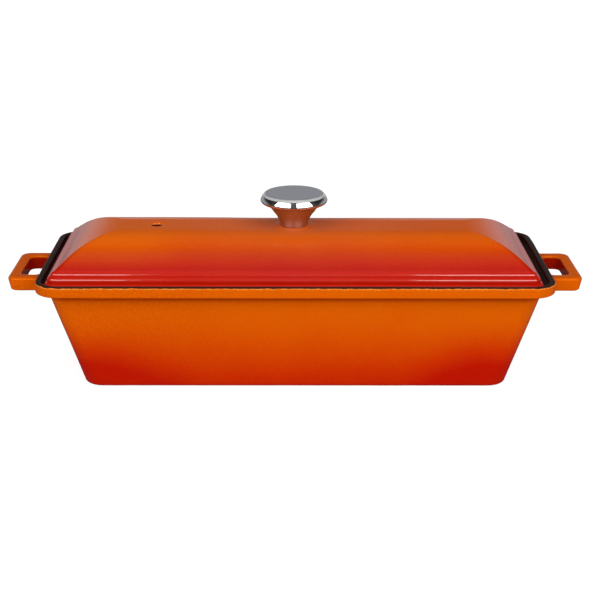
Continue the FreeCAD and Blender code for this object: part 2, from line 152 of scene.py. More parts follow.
# Points along the lid as (from, to, count), closer together at the two holes and on the boss
LID_RUNS = (
    (-CROWN_X, -98.0, 8),
    (VENT_PLACE - HOLE_HALF, VENT_PLACE + HOLE_HALF, HOLE_POINTS),
    (-83.0, -22.0, 20),
    (-19.5, -6.6, HOLE_POINTS),
    (-HOLE_HALF, HOLE_HALF, HOLE_POINTS),
    (6.6, 19.5, HOLE_POINTS),
    (22.0, CROWN_X, 30),
)

# Points from the hole's square to the side of the crown, as shares of the crown's half width
LID_SIDE_SHARES = np.array([0.66, 0.77, 0.88, 1.0])

# Knob: its turned profile from the middle of the underside to the middle of the face. An arc is
# (start, end, radius, turn, steps), the ends are (radius, height), and turn 1 bulges outwards
KNOB_BASE = CROWN + BOSS_RISE
KNOB_TURNS = 128
KNOB_HEIGHT = 22.29
UNDERSIDE_RADII = (0.0, 4.0, 8.5)
FACE_RADII = (14.0, 9.0, 4.0, 0.0)
STEM_ARCS = (
    ((8.8, 0.2), (13.75, 9.9), 20.0, -1, 14),
    ((13.9, 10.1), (20.6, 15.5), 11.0, -1, 14),
)
BAND_ARCS = (
    ((20.8, 15.6), (22.0, 17.2), 2.2, 1, 8),
    ((22.0, 17.4), (20.65, 20.3), 9.0, 1, 16),
    ((20.62, 20.36), (20.45, 20.56), 1.5, 1, 3),
)
BEVEL_ARCS = (((20.4, 20.62), (19.2, 21.8), 6.0, 1, 8),)
FACE_ARCS = (((19.1, 21.87), (16.6, KNOB_HEIGHT), 8.0, 1, 6),)
STEM, BAND, BEVEL, FACE = range(4)

# How the castings wander: the depth of their skin, and its waves as (height, size, seed)
PAN_SKIN = 0.10
PAN_WAVES = ((0.07, 17.0, 1.0), (0.03, 6.0, 5.0))
LID_SKIN = 0.08
LID_WAVES = ((0.05, 21.0, 3.0),)
BORDER_SKIN = 0.05
BORDER_WAVES = ((0.05, 7.0, 9.0),)
BORDER_TOP = DOME_FOOT + 1.0
CROWN_FADE = 3.0

# A lump in the enamel of the front, and a kink in the rim's back right
LUMP_PLACE = (-109.0, -43.6, 27.0)
LUMP_SIZE = 1.6
LUMP_HEIGHT = 0.45
KINK_PLACE = (159.0, 47.0, 74.0)
KINK_SIZE = 6.0
KINK_MOVE = (-0.8, 0.5, 0.0)

# The lid's crown is a little higher at its left end
LEAN_FOOT = 84.0
LEAN_FULL = 98.0
LEAN_START = -10.0
LEAN_END = -90.0
LEAN_EVEN = 0.1
LEAN_LEFT = 0.5

# How fine the meshes are: steps round a ring's corner, bands along a profile, steps in its arcs
CORNER_STEPS = 8
BAND_LENGTH = 3.0
ARC_LENGTH = 0.9
HANDLE_BAND_LENGTH = 1.6
HANDLE_ARC_LENGTH = 0.5
ARC_STEPS_LEAST = 4
ARC_STEPS_MOST = 24
PAN_STATIONS = (86, 28)
HANDLE_STATIONS = (16, 30)

# Points nearer than this are one, and hollow edges sharper than this, in radians, stay sharp
SAME_PLACE = 1e-4
HOLLOW_ANGLE = 0.5

# Each point of the pan knows how far it lies, along the profile, inside the rim's outer edge. The
# handles lie far outside it
RUN_LAYER = "rim_run"
HANDLE_RUN = -100.0

# Colours in light values. The lamps light a front face to about one and a half times its colour,
# so the enamel is darker than it shows
BLACK = (0.0, 0.0, 0.0, 1.0)
WHITE = (1.0, 1.0, 1.0, 1.0)
ENAMEL_LEVEL = 0.68
ENAMEL_GLINT = (1.0, 0.35, 0.04, 1.0)

# Steels as (colour, roughness, spread of the roughness, metallic)
STEELS = {
    "stem_steel": ((0.56, 0.49, 0.46, 1.0), 0.32, 0.03, 1.0),
    "polished_steel": ((0.66, 0.66, 0.68, 1.0), 0.04, 0.02, 1.0),
    "bevel_steel": ((0.66, 0.66, 0.65, 1.0), 0.12, 0.03, 0.45),
    "satin_steel": ((0.70, 0.71, 0.79, 1.0), 0.34, 0.1, 0.76),
    "fastener_steel": ((0.5, 0.5, 0.5, 1.0), 0.35, 0.1, 1.0),
}
KNOB_STEELS = ("stem_steel", "polished_steel", "bevel_steel", "satin_steel")
STEEL_SHADE = 0.86

# Floor in metres: its size, how far it lies under the pan, and where its glow grows to white
FLOOR_SIZE = 16.0
FLOOR_DROP = 0.0002
FLOOR_SHADOW = (0.25, 0.25, 0.25, 1.0)
GLOW_NEAR, GLOW_FAR = 0.35, 1.6
GLOW_LEVELS = (0.84, 1.0)
MIRROR_NEAR, MIRROR_FAR = 0.2, 1.1
MIRROR_LEVELS = (0.05, 0.41)

# World: soft light from all round and from above, as shares of white
AMBIENT_LEVELS = (0.16, 0.6)

# Softboxes in metres. Azimuth 0 is towards the viewer
LAMP_DISTANCE = 1.05
LAMP_RISE = 0.86
LAMP_HEIGHT = 0.95

# The photograph's frame in pixels and the camera that was solved from it, with angles in degrees
FRAME_SIZE = 592
FOCAL_PIXELS = 1342.0
SENSOR = 36.0
CAMERA_PLACE = (-2.412, -852.669, 351.608)
CAMERA_PITCH = 19.4989
CAMERA_YAW = -0.1986
CAMERA_ROLL = 0.1164
CLIP_START, CLIP_END = 0.05, 50.0


def stations(count):
    """Evenly spread places along a side, from -1 to 1."""
    return np.linspace(-1.0, 1.0, count)


def ring(section, along, across, shift=(0.0, 0.0)):
    """Points round a rectangle with round corners, the same count and order for every size."""
    half_x, half_y, corner, z = section
    run_x, run_y = half_x - corner, half_y - corner
    sides = (
        [(u * run_x, -half_y) for u in along],
        [(half_x, v * run_y) for v in across],
        [(u * run_x, half_y) for u in along[::-1]],
        [(-half_x, v * run_y) for v in across[::-1]],
    )
    hubs = ((run_x, -run_y), (run_x, run_y), (-run_x, run_y), (-run_x, -run_y))
    points = []
    for turn, (side, hub) in enumerate(zip(sides, hubs)):
        points.extend(side)
        for step in range(1, CORNER_STEPS):
            angle = (turn - 1 + step / CORNER_STEPS) * math.pi / 2
            points.append((hub[0] + corner * math.cos(angle), hub[1] + corner * math.sin(angle)))
    return [(x + shift[0], y + shift[1], z) for x, y in points]


def profile_length(gap):
    """Length of the step between two sections, seen in the profile's plane."""
    return math.hypot(gap[0], gap[-1])


def round_corner(before, here, after, radius, arc_length):
    """Sections along the arc that takes the place of one corner of a profile."""
    back = before - here
    on = after - here
    back /= profile_length(back)
    on /= profile_length(on)
    half = math.acos(max(-1.0, min(1.0, back[0] * on[0] + back[-1] * on[-1]))) / 2
    inward = (back + on) / (2 * math.cos(half))
    across = (on - back) / (2 * math.sin(half))
    sweep = math.pi / 2 - half
    steps = math.ceil(2 * sweep * radius / arc_length)
    steps = max(ARC_STEPS_LEAST, min(ARC_STEPS_MOST, steps))
    centre = here + inward * radius / math.sin(half)
    return [centre + radius * (across * math.sin(angle) - inward * math.cos(angle))
            for angle in np.linspace(-sweep, sweep, steps + 1)]


def rounded(corners, band_length=BAND_LENGTH, arc_length=ARC_LENGTH):
    """Sections along a profile. A corner is (outward, anything else that changes, z, round)."""
    places = [np.array(corner[:-1]) for corner in corners]
    radii = [corner[-1] for corner in corners]
    sections = [places[0]]
    for before, here, after, radius in zip(places, places[1:], places[2:], radii[1:]):
        sections.extend(round_corner(before, here, after, radius, arc_length))
    sections.append(places[-1])
    filled = [sections[0]]
    for start, end in zip(sections, sections[1:]):
        gap = end - start
        parts = max(1, math.ceil(profile_length(gap) / band_length))
        filled.extend(start + gap * part / parts for part in range(1, parts + 1))
    return filled


def runs_along(sections):
    """Distance of each section along the profile from the first one."""
    runs = [0.0]
    for before, after in zip(sections, sections[1:]):
        runs.append(runs[-1] + profile_length(after - before))
    return np.array(runs)


class Skin:
    """Points and faces of one closed casting, gathered before they become a mesh."""

    def __init__(self):
        self.points = []
        self.runs = []
        self.faces = []

    def add(self, points, run=0.0):
        """Take in points that lie the same way along the profile. Gives their numbers."""
        start = len(self.points)
        self.points.extend(points)
        self.runs.extend([run] * len(points))
        return list(range(start, start + len(points)))

    def join(self, rings):
        """Bands of faces between rings that follow one another."""
        for lower, upper in zip(rings, rings[1:]):
            for index in range(len(lower)):
                after = (index + 1) % len(lower)
                self.faces.append((lower[index], lower[after], upper[after], upper[index]))

    def sweep(self, sections, along, across, shift=(0.0, 0.0), runs=None):
        """Rings through all the sections. Gives back the first and the last ring."""
        if runs is None:
            runs = np.zeros(len(sections))
        rings = [self.add(ring(section, along, across, shift), run) for section, run in zip(sections, runs)]
        self.join(rings)
        return rings[0], rings[-1]

    def fill(self, edge, along, across, holes=()):
        """A grid inside a ring whose corners have shrunk to points. Gives each hole's border."""
        front, right, back, left = split_ring(edge, len(along), len(across))
        run = self.runs[edge[0]]
        low = np.array(self.points[front[0]])
        high = np.array(self.points[back[-1]])
        grid = [left]
        for i in range(1, len(along) - 1):
            column = [front[i]]
            for v in across[1:-1]:
                share = np.array([(along[i] + 1) / 2, (v + 1) / 2, 0])
                column.extend(self.add([tuple(low + share * (high - low))], run))
            grid.append(column + [back[i]])
        grid.append(right)
        for i in range(len(along) - 1):
            for j in range(len(across) - 1):
                if not any(hole.holds(i, j) for hole in holes):
                    self.faces.append((grid[i][j], grid[i + 1][j], grid[i + 1][j + 1], grid[i][j + 1]))
        return [hole.border(grid) for hole in holes]

    def bore(self, top_border, low_border, centre, profile):
        """A round hole from a square gap above to one below. Its rings start front left, as they do."""
        count = len(top_border)
        first_angle = math.radians(-135.0)
        angles = [first_angle + 2 * math.pi * index / count for index in range(count)]
        rings = [top_border]
        for radius, z in profile:
            rings.append(self.add([(centre[0] + radius * math.cos(angle),
                                    centre[1] + radius * math.sin(angle), z) for angle in angles]))
        rings.append(low_border)
        self.join(rings)

    def mesh(self, name, shape):
        """The finished object. shape moves the points once their normals are known."""
        made = bmesh.new()
        layer = made.verts.layers.float.new(RUN_LAYER)
        corners = [made.verts.new(point) for point in self.points]
        for vertex, run in zip(corners, self.runs):
            vertex[layer] = run
        for face in self.faces:
            made.faces.new([corners[index] for index in face])
        bmesh.ops.remove_doubles(made, verts=made.verts, dist=SAME_PLACE)
        bmesh.ops.recalc_face_normals(made, faces=made.faces)
        made.normal_update()
        for edge in made.edges:
            edge.smooth = edge.calc_face_angle_signed(0.0) >= -HOLLOW_ANGLE
        moves = [shape(vertex.co, vertex.normal) for vertex in made.verts]
        for vertex, move in zip(made.verts, moves):
            vertex.co += move
        return as_piece(name, made)


def split_ring(edge, wide, deep):
    """A ring's four sides without the arcs between them, each from left to right or front to back."""
    sides = []
    start = 0
    for count in (wide, deep, wide, deep):
        sides.append(edge[start:start + count])
        start += count + CORNER_STEPS - 1
    front, right, back, left = sides
    return front, right, back[::-1], left[::-1]


class Hole:
    """The square block of grid cells that a hole in the crown takes out."""

    def __init__(self, xs, ys, centre_x):
        self.left, self.right = (nearest(xs, centre_x + side * HOLE_HALF) for side in (-1, 1))
        self.front, self.back = (nearest(ys, side * HOLE_HALF) for side in (-1, 1))

    def holds(self, i, j):
        return self.left <= i < self.right and self.front <= j < self.back

    def border(self, grid):
        """The points round the block, in the same turn as a ring's."""
        path = [(i, self.front) for i in range(self.left, self.right)]
        path += [(self.right, j) for j in range(self.front, self.back)]
        path += [(i, self.back) for i in range(self.right, self.left, -1)]
        path += [(self.left, j) for j in range(self.back, self.front, -1)]
        return [grid[i][j] for i, j in path]


def nearest(places, mark):
    """The number of the place that lies nearest to a mark."""
    return int(np.argmin(np.abs(places - mark)))


def as_piece(name, made):
    """An object in metres from a mesh in millimetres, shaded smooth but for its sharp edges."""
    bmesh.ops.scale(made, vec=(MM, MM, MM), verts=made.verts)
    for face in made.faces:
        face.smooth = True
    data = bpy.data.meshes.new(name)
    made.to_mesh(data)
    made.free()
    piece = bpy.data.objects.new(name, data)
    bpy.context.scene.collection.objects.link(piece)
    weighted = piece.modifiers.new("weighted", "WEIGHTED_NORMAL")
    weighted.keep_sharp = True
    return piece


def ramp(value, low, high):
    """0 at low and 1 at high, straight between them and level beyond them."""
    return min(1.0, max(0.0, (value - low) / (high - low)))


def eased(share):
    """A share from 0 to 1 with soft ends."""
    return share * share * (3 - 2 * share)


def fade(place, centre, size):
    """1 at the centre, fading out at about twice the size."""
    return math.exp(-((place - Vector(centre)).length / size) ** 2)


def unevenness(place, skin, waves):
    """How deep a casting's skin lies under its true form."""
    return skin + sum(height * noise.noise(place / size + Vector((seed, 2 * seed, 3 * seed)))
                      for height, size, seed in waves)


def pan_shape(place, normal):
    """How the pan's casting and enamel wander from the true form."""
    depth = unevenness(place, PAN_SKIN, PAN_WAVES)
    depth -= LUMP_HEIGHT * fade(place, LUMP_PLACE, LUMP_SIZE)
    return normal * -depth + Vector(KINK_MOVE) * fade(place, KINK_PLACE, KINK_SIZE)


def lid_shape(place, normal):
    """Boss under the knob, the crown's lean, and the lid's own wander, strongest at the border."""
    rise = 0.0
    if normal.z > OUTSIDE_NORMAL:
        from_knob = math.hypot(place.x - LID_SHIFT[0], place.y - LID_SHIFT[1])
        rise += BOSS_RISE * eased(ramp(from_knob, BOSS_FOOT, BOSS_TOP))
    to_left = eased(ramp(place.x, LEAN_START, LEAN_END))
    rise += ramp(place.z, LEAN_FOOT, LEAN_FULL) * (LEAN_EVEN + LEAN_LEFT * to_left)
    depth = ramp(place.z, CROWN, CROWN - CROWN_FADE) * unevenness(place, LID_SKIN, LID_WAVES)
    if place.z < BORDER_TOP:
        depth += unevenness(place, BORDER_SKIN, BORDER_WAVES)
    return Vector((0.0, 0.0, rise)) - normal * depth


def body_section(z, inset=0.0, corner=BODY_CORNER):
    """The body's outline at a height, or the well's with the wall as inset."""
    share = z / BODY_TOP
    half_x = BODY_X - END_DRAFT * (1 - share) - inset
    half_y = BODY_Y - SIDE_DRAFT * (1 - share) - inset
    return half_x, half_y, corner, z


def core_of(section, margin):
    """The rectangle that a flat grid fills, with sharp corners, inside a section."""
    half_x, half_y, _, z = section
    return half_x - margin, half_y - margin, 0.0, z


def build_pan():
    """Body, flange, recess, well and handles as one skin."""
    skin = Skin()
    along, across = (stations(count) for count in PAN_STATIONS)
    foot = body_section(0.0)
    floor = body_section(FLOOR_THICK, WALL, WELL_CORNER)
    rim = (RIM_X, RIM_Y, RIM_CORNER)
    recess = [size - RIM_WALL for size in rim]
    sections = rounded([
        (*core_of(foot, FOOT_MARGIN), 0.0),
        (*foot, FOOT_ROUND),
        (*body_section(BODY_TOP), CAST_ROUND),
        (*rim, BODY_TOP, RIM_ROUND),
        (*rim, PAN_TOP, RIM_ROUND),
        (*recess, PAN_TOP, SMALL_ROUND),
        (*recess, SEAT, SMALL_ROUND),
        (*body_section(SEAT, WALL, WELL_CORNER), CAST_ROUND),
        (*floor, WELL_ROUND),
        (*core_of(floor, FLOOR_MARGIN), 0.0),
    ])
    runs = runs_along(sections)
    # Runs are counted from the middle of the round on the rim's upper outer edge
    mid_edge = PAN_TOP - RIM_ROUND * (1 - math.sqrt(0.5))
    edge_run = next(run for run, section in zip(runs, sections) if section[-1] > mid_edge)
    first, last = skin.sweep(sections, along, across, runs=runs - edge_run)
    skin.fill(first, along, across)
    skin.fill(last, along, across)
    for side in (-1, 1):
        add_handle(skin, side)
    return skin.mesh("pan_casting", pan_shape)


def plate(start, end, half_y, corner):
    """A plate's outline as (end, centre, half width, corner), which a profile carries along."""
    return np.array([end, (start + end) / 2, half_y, corner])


def add_handle(skin, side):
    """A loop handle rooted in the body's wall. Its profile runs once round the loop's bar."""
    along, across = (stations(count) for count in HANDLE_STATIONS)
    low = HANDLE_TOP - HANDLE_THICK
    lean = HANDLE_THICK * math.tan(math.radians(HANDLE_TAPER))
    grip = plate(GRIP_CENTRE - GRIP_X, GRIP_CENTRE + GRIP_X, GRIP_Y, GRIP_CORNER)
    outer = plate(HANDLE_ROOT, HANDLE_END, HANDLE_Y, HANDLE_CORNER)
    outer_low = plate(HANDLE_ROOT, HANDLE_END - lean, HANDLE_Y - lean, HANDLE_CORNER - lean)
    middle = (grip + outer) / 2
    sections = rounded([
        (*middle, HANDLE_TOP, 0.0),
        (*outer, HANDLE_TOP, HANDLE_ROUND),
        (*outer_low, low, HANDLE_ROUND),
        (*grip, low, SMALL_ROUND),
        (*grip, HANDLE_TOP, GRIP_ROUND),
        (*middle, HANDLE_TOP, 0.0),
    ], HANDLE_BAND_LENGTH, HANDLE_ARC_LENGTH)
    rings = []
    for end, centre, half_y, corner, z in sections:
        points = ring((end - centre, half_y, corner, z), along, across, (centre, 0.0))
        rings.append(skin.add([(side * x, y, z) for x, y, z in points], HANDLE_RUN))
    skin.join(rings)


def lid_underside():
    """Corners of the lid's profile from the hollow's ceiling to the foot of the border."""
    mouth_x, mouth_y = LID_X - LID_SEAT, LID_Y - LID_SEAT
    slope_drop = LID_WALL / math.cos(math.radians(DOME_SLOPE))
    wall_top = DOME_FOOT - slope_drop + DOME_TAN * (LID_SEAT - SIDE_INSET)
    slope_run = (CEILING - wall_top) / DOME_TAN
    return [
        (CROWN_X, CROWN_Y, 0.0, CEILING, 0.0),
        (mouth_x - slope_run, mouth_y - slope_run, HIP_ROUND, CEILING, CROWN_ROUND - LID_WALL),
        (mouth_x, mouth_y, HOLLOW_CORNER, wall_top, HOLLOW_ROUND),
        (mouth_x, mouth_y, HOLLOW_CORNER, SEAT, SMALL_ROUND),
        (LID_X, LID_Y, LID_CORNER, SEAT, 0.0),
    ]


def lid_outside():
    """Corners of the lid's profile from its first step to the flat of the crown."""
    corners = []
    level = SEAT
    for count, rise in enumerate(STEP_RISES):
        level += rise
        half_x, half_y = LID_X - count * END_LEDGE, LID_Y - count * SIDE_LEDGE
        corner = max(HIP_ROUND, LID_CORNER - count * SIDE_LEDGE)
        inner_corner = max(HIP_ROUND, corner - SIDE_LEDGE)
        corners.append((half_x, half_y, corner, level - STEP_LEAN, STEP_ROUND))
        corners.append((half_x - END_LEDGE, half_y - SIDE_LEDGE, inner_corner, level, 0.0))
    inset = SIDE_INSET + DOME_RUN
    corners.append((LID_X - inset, LID_Y - inset, HIP_ROUND, CROWN, CROWN_ROUND))
    corners.append((CROWN_X, CROWN_Y, 0.0, CROWN, 0.0))
    return corners


def hole_profile(radius):
    """A hole's profile from the crown down to the ceiling, with a round at each end."""
    def lip(level, round_, down, steps):
        return [(radius + round_ * (1 - math.sin(a)), level - down * round_ * (1 - math.cos(a)))
                for a in np.linspace(0, math.pi / 2, steps + 1)]
    collar = radius + HOLE_COLLAR
    return [(collar, CROWN), *lip(CROWN, HOLE_ROUND, 1, 5), (radius, CROWN - HOLE_BREAK),
            *lip(CEILING, HOLE_LOW_ROUND, -1, 2)[::-1], (collar, CEILING)]


def build_lid():
    """Hollow underside, stepped border, hipped slopes, flat crown, boss and two holes."""
    skin = Skin()
    along = np.concatenate([np.linspace(*run) for run in LID_RUNS]) / CROWN_X
    middle = np.linspace(-HOLE_HALF, HOLE_HALF, HOLE_POINTS) / CROWN_Y
    across = np.concatenate([-LID_SIDE_SHARES[::-1], middle, LID_SIDE_SHARES])
    first, last = skin.sweep(rounded(lid_underside() + lid_outside()), along, across, LID_SHIFT)
    bores = ((VENT_PLACE, VENT_RADIUS), (0.0, SCREW_RADIUS))
    holes = [Hole(along * CROWN_X, across * CROWN_Y, x) for x, _ in bores]
    low_borders = skin.fill(first, along, across, holes)
    top_borders = skin.fill(last, along, across, holes)
    for (x, radius), top_border, low_border in zip(bores, top_borders, low_borders):
        centre = (x + LID_SHIFT[0], LID_SHIFT[1])
        skin.bore(top_border, low_border, centre, hole_profile(radius))
    return skin.mesh("lid_casting", lid_shape)


def arc(start, end, radius, turn, steps):
    """Points of an arc between two (radius, height) points. Turn 1 bulges outwards."""
    start, end = np.array(start), np.array(end)
    chord = end - start
    length = math.hypot(*chord)
    side = np.array([-chord[1], chord[0]]) / length
    hub = (start + end) / 2 + side * turn * math.sqrt(radius ** 2 - (length / 2) ** 2)
    first = math.atan2(*(start - hub)[::-1])
    last = math.atan2(*(end - hub)[::-1])
    if turn > 0 and last < first:
        last += 2 * math.pi
    if turn < 0 and last > first:
        last -= 2 * math.pi
    return [tuple(hub + radius * np.array([math.cos(a), math.sin(a)]))
            for a in np.linspace(first, last, steps + 1)]


def knob_profile():
    """Points of the knob's profile as (radius, height, surface)."""
    points = [(radius, 0.0, STEM) for radius in UNDERSIDE_RADII]
    for surface, arcs in ((STEM, STEM_ARCS), (BAND, BAND_ARCS), (BEVEL, BEVEL_ARCS), (FACE, FACE_ARCS)):
        points += [(*point, surface) for one in arcs for point in arc(*one)]
    return points + [(radius, KNOB_HEIGHT, FACE) for radius in FACE_RADII]


def turned_ring(made, radius, height):
    """A ring of the turned knob, or the one point that is left of it on the axis."""
    angles = np.linspace(0, 2 * math.pi, KNOB_TURNS, endpoint=False) if radius else [0.0]
    return [made.verts.new((radius * math.cos(a), radius * math.sin(a), height)) for a in angles]


def build_knob():
    """Turned cap on a trumpet stem. Each of its surfaces has a steel of its own."""
    profile = knob_profile()
    made = bmesh.new()
    rings = [turned_ring(made, radius, height) for radius, height, _ in profile]
    for lower, upper, (_, _, surface) in zip(rings, rings[1:], profile[1:]):
        for index in range(KNOB_TURNS):
            after = (index + 1) % KNOB_TURNS
            corners = [lower[index % len(lower)], lower[after % len(lower)],
                       upper[after % len(upper)], upper[index % len(upper)]]
            made.faces.new(list(dict.fromkeys(corners))).material_index = surface
    for edge in made.edges:
        surfaces = {face.material_index for face in edge.link_faces}
        edge.smooth = len(surfaces) == 1 or surfaces == {STEM, BAND}
    bmesh.ops.recalc_face_normals(made, faces=made.faces)
    bmesh.ops.translate(made, vec=(*LID_SHIFT, KNOB_BASE), verts=made.verts)
    return as_piece("knob_turned", made)


def linear(red, green, blue, level=1.0):
    """A screen colour of 0 to 255 as the light values that a shader takes."""
    def channel(value):
        value /= 255
        return level * (value / 12.92 if value <= 0.04045 else ((value + 0.055) / 1.055) ** 2.4)
    return channel(red), channel(green), channel(blue), 1.0


def enamel(red, green, blue):
    """The light values of an enamel that shows as this screen colour under the lamps."""
    return linear(red, green, blue, ENAMEL_LEVEL)


class Nodes:
    """Short calls that add nodes to the tree of a material or of the world."""

    def __init__(self, tree):
        self.tree = tree

    def plug(self, socket, value):
        """Link a socket to another one, or set its value."""
        if isinstance(value, bpy.types.NodeSocket):
            self.tree.links.new(value, socket)
        else:
            socket.default_value = value

    def add(self, kind, values=None, output=0, **settings):
        """A new node with its inputs and settings. Gives back one of its outputs."""
        node = self.tree.nodes.new("ShaderNode" + kind)
        for name, value in settings.items():
            setattr(node, name, value)
        for name, value in (values or {}).items():
            self.plug(node.inputs[name], value)
        return node.outputs[output]

    def math(self, operation, first, second=0.0, third=0.0, clamp=False):
        """A value worked out from up to three others, by Blender's name for the operation."""
        values = {0: first, 1: second, 2: third}
        return self.add("Math", values, operation=operation, use_clamp=clamp)

    def product(self, first, *others):
        """All the values times each other."""
        for other in others:
            first = self.math("MULTIPLY", first, other)
        return first

    def total(self, first, *others):
        """All the values added up."""
        for other in others:
            first = self.math("ADD", first, other)
        return first

    def below(self, value, limit):
        """1 where the value is under the limit, and 0 elsewhere."""
        return self.math("LESS_THAN", value, limit)

    def fit(self, value, low, high, to=(0.0, 1.0), smooth=True):
        """The value's way from low to high, as a way between two other values."""
        values = {"Value": value, "From Min": low, "From Max": high, "To Min": to[0], "To Max": to[1]}
        return self.add("MapRange", values, interpolation_type="SMOOTHSTEP" if smooth else "LINEAR")

    def mix(self, factor, first, second):
        """A colour between two colours."""
        values = {"Factor": factor, "A": first, "B": second}
        return self.add("Mix", values, "Result", data_type="RGBA")

    def ramp(self, factor, stops):
        """A colour from a row of (place, colour)."""
        node = self.add("ValToRGB", {"Fac": factor}).node
        elements = node.color_ramp.elements
        while len(elements) < len(stops):
            elements.new(0.5)
        for element, (place, colour) in zip(elements, stops):
            element.position = place
            element.color = colour
        return node.outputs["Color"]


class Shader(Nodes):
    """A new material, with the place of the shaded point in metres and in millimetres."""

    def __init__(self, name):
        self.material = bpy.data.materials.new(name)
        self.material.use_nodes = True
        super().__init__(self.material.node_tree)
        self.place = self.add("TexCoord", output="Object")
        scaled = self.add("VectorMath", {0: self.place, "Scale": 1 / MM}, operation="SCALE")
        self.x, self.y, self.z = self.add("SeparateXYZ", {0: scaled}).node.outputs

    def set(self, **values):
        """Plug values into the surface, by its sockets' names with underscores."""
        for name, value in values.items():
            self.plug(self.tree.nodes["Principled BSDF"].inputs[name.replace("_", " ")], value)

    def noise(self, scale, detail=2.0, roughness=0.5, height=1.0):
        """Noise of the given height with its middle at 0. The scale counts lumps per metre."""
        values = {"Vector": self.place, "Scale": scale, "Detail": detail, "Roughness": roughness}
        return self.math("MULTIPLY_ADD", self.add("TexNoise", values), height, -height / 2)

    def bump(self, height, distance, strength, normal=None):
        """A normal that a height in metres times the distance has bent."""
        values = {"Height": height, "Distance": distance, "Strength": strength}
        if normal is not None:
            values["Normal"] = normal
        return self.add("Bump", values)


def enamel_colour(shader, reddening):
    """Orange that turns red, broken up by the grain of the sprayed enamel."""
    cloud = shader.noise(26.0, detail=3.0, height=0.22)
    grain = shader.noise(700.0, roughness=0.6, height=0.26)
    return shader.ramp(shader.total(reddening, cloud, grain), [
        (0.0, enamel(230, 100, 1)),
        (0.3, enamel(222, 80, 1)),
        (0.62, enamel(212, 52, 1)),
        (0.92, enamel(200, 27, 3)),
        (1.0, enamel(197, 20, 3)),
    ])


def orange_peel(shader):
    """The fine and the broad unevenness of fired enamel."""
    broad = shader.bump(shader.noise(90.0), distance=0.0002, strength=0.35)
    return shader.bump(shader.noise(620.0), distance=0.00004, strength=0.5, normal=broad)


def pan_outside(shader):
    """Orange that reddens towards the foot, sooner at the ends, with painted shade on the flange and handles
    and a painted shadow under the flange.
    """
    along = shader.math("ABSOLUTE", shader.x)
    ends = (55.0, 125.0)
    start = shader.fit(along, *ends, to=(62.0, 58.0))
    width = shader.fit(along, *ends, to=(70.0, 42.0))
    depth = shader.math("DIVIDE", shader.math("SUBTRACT", start, shader.z), width, clamp=True)
    colour = enamel_colour(shader, shader.math("POWER", depth, 1.45))
    leftward = shader.fit(shader.x, -20.0, -100.0, to=(0.10, 0.34))
    speckle = shader.fit(shader.noise(760.0, detail=4.0, roughness=0.75), -0.08, 0.22)
    colour = shader.mix(shader.product(speckle, leftward), colour, enamel(172, 44, 1))
    # Painted shade: the flange and the handles, above the body's top, are darkened a little against the
    # walls.
    flange_painted_shade = shader.fit(shader.z, BODY_TOP - 0.3, BODY_TOP + 0.1, to=(0.0, 0.08))
    colour = shader.mix(flange_painted_shade, colour, BLACK)
    # Painted shadow: a darker red band on the body's wall just under the flange.
    shade = shader.fit(shader.z, BODY_TOP - 6.0, BODY_TOP - 2.6, to=(0.0, 0.6))
    on_body = shader.product(shader.below(along, BODY_X), shader.below(shader.z, BODY_TOP + 0.2))
    return shader.mix(shader.product(shade, on_body), colour, enamel(165, 30, 1))


def inside_grips(shader):
    """How much a point lies on the inner wall of a handle's opening."""
    margin = 0.3
    from_centre = shader.math("SUBTRACT", shader.math("ABSOLUTE", shader.x), GRIP_CENTRE)
    in_x = shader.below(shader.math("ABSOLUTE", from_centre), GRIP_X + margin)
    in_y = shader.below(shader.math("ABSOLUTE", shader.y), GRIP_Y + margin)
    return shader.product(in_x, in_y, shader.fit(shader.z, HANDLE_TOP - margin, HANDLE_TOP - 2.2))


def pan_enamel():
    """Orange outside, with handle openings in a darker red that is partly painted shade and a golden line
    along the rim's edge that is partly painted highlight, and a matt black rim and inside.
    """
    shader = Shader("pan_enamel")
    run = shader.add("Attribute", output="Fac", attribute_name=RUN_LAYER)
    wavy_run = shader.total(shader.noise(260.0, height=1.5), run)
    # Golden orange in dots along the rim's outer edge, just before the black: partly where the enamel thins
    # over the edge, partly a painted highlight.
    thin_edge_and_highlight = shader.fit(wavy_run, -2.0, -1.0)
    dots = shader.fit(shader.noise(620.0), -0.16, 0.16, to=(0.15, 0.8))
    outside = shader.mix(shader.product(thin_edge_and_highlight, dots), pan_outside(shader), enamel(242, 150, 62))
    # Darker red on the inner walls of the handle openings: partly redder enamel, partly painted shade.
    outside = shader.mix(inside_grips(shader), outside, enamel(150, 18, 2))
    inside = shader.mix(shader.noise(300.0), linear(30, 19, 18), linear(44, 31, 30))
    past_edge = (-0.85, -0.5)
    shader.set(
        Base_Color=shader.mix(shader.fit(wavy_run, *past_edge), outside, inside),
        Roughness=shader.fit(wavy_run, *past_edge, to=(0.11, 0.41)),
        Specular_Tint=ENAMEL_GLINT,
        Normal=orange_peel(shader),
    )
    return shader.material


def lid_hollows(shader):
    """How much a point lies on the lid's underside or in the steam hole."""
    normal_z = shader.add("SeparateXYZ", {0: shader.add("NewGeometry", output="Normal")}, "Z")
    flat_place = shader.add("CombineXYZ", {"X": shader.x, "Y": shader.y})
    vent = (VENT_PLACE + LID_SHIFT[0], LID_SHIFT[1], 0.0)
    from_vent = shader.add("VectorMath", {0: flat_place, 1: vent}, "Value", operation="DISTANCE")
    in_vent = shader.product(shader.below(from_vent, VENT_RADIUS + 0.12), shader.below(shader.z, CROWN - 0.7))
    return shader.math("MAXIMUM", shader.below(normal_z, UNDERSIDE_NORMAL), in_vent)


